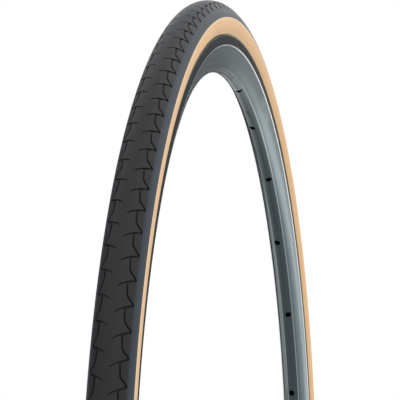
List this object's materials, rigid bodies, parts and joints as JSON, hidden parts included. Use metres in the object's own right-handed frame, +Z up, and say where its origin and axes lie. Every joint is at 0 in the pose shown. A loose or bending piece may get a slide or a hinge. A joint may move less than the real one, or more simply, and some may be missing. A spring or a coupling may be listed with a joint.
{
  "type": "bicycle tire",
  "caption": "Narrow road clincher tyre with a black siped tread and tan sidewalls, mounted on its hollow metal rim with tube, tape and valve.",
  "frame": {"origin": "centre of the wheel, on the axle axis and in the middle plane", "axes": "+Y along the axle towards the left side, +Z up, +X forward; the valve is at the bottom and points up at the axle"},
  "size_m": [0.6769, 0.0244, 0.677],
  "materials": {
    "tread_rubber": "black tread compound with a satin skin",
    "tan_sidewall": "thin tan rubber over cotton casing",
    "casing_cloth": "rubberised cotton cord",
    "breaker_cloth": "woven nylon strip",
    "chafer_cloth": "rubberised nylon strip",
    "bead_wire": "bronze coated steel wire",
    "tube_rubber": "butyl rubber dusted with talc",
    "rim_alloy": "grey anodised, brake tracks machined",
    "sleeve_alloy": "mill finish",
    "tape_nylon": "woven nylon tape",
    "valve_metal": "nickel plated brass",
    "pin_metal": "turned brass",
    "seal_rubber": "moulded rubber",
    "cap_plastic": "moulded black plastic"
  },
  "bodies": {
    "wheel": {"tread": "tread_rubber", "breaker_strip": "breaker_cloth", "casing_ply_outer": "casing_cloth", "casing_ply_inner": "casing_cloth", "sidewall_left": "tan_sidewall", "sidewall_right": "tan_sidewall", "chafer_left": "chafer_cloth", "chafer_right": "chafer_cloth", "bead_core_left": "bead_wire", "bead_core_right": "bead_wire", "inner_tube": "tube_rubber", "valve_patch": "tube_rubber", "rim": "rim_alloy", "rim_joint_sleeve": "sleeve_alloy", "rim_tape": "tape_nylon", "valve_stem": "valve_metal", "valve_core": "valve_metal"},
    "rim_nut": {"rim_nut": "valve_metal"},
    "core_pin": {"core_pin": "pin_metal", "core_seal": "seal_rubber"},
    "lock_nut": {"lock_nut": "pin_metal"},
    "valve_cap": {"valve_cap": "cap_plastic"}
  },
  "joints": [
    {"name": "lock_nut_screw", "type": "slide", "parent": "core_pin", "child": "lock_nut", "axis": [0, 0, 1], "range_m": [0, 0.0018]},
    {"name": "core_pin_travel", "type": "slide", "parent": "wheel", "child": "core_pin", "axis": [0, 0, -1], "range_m": [0, 0.0018]},
    {"name": "cap_pull", "type": "slide", "parent": "wheel", "child": "valve_cap", "axis": [0, 0, 1], "range_m": [0, 0.03]},
    {"name": "rim_nut_screw", "type": "slide", "parent": "wheel", "child": "rim_nut", "axis": [0, 0, 1], "range_m": [0, 0.012]}
  ],
  "couplings": [
    {"joint": "core_pin_travel", "follows": "lock_nut_screw", "ratio": 1}
  ]
}
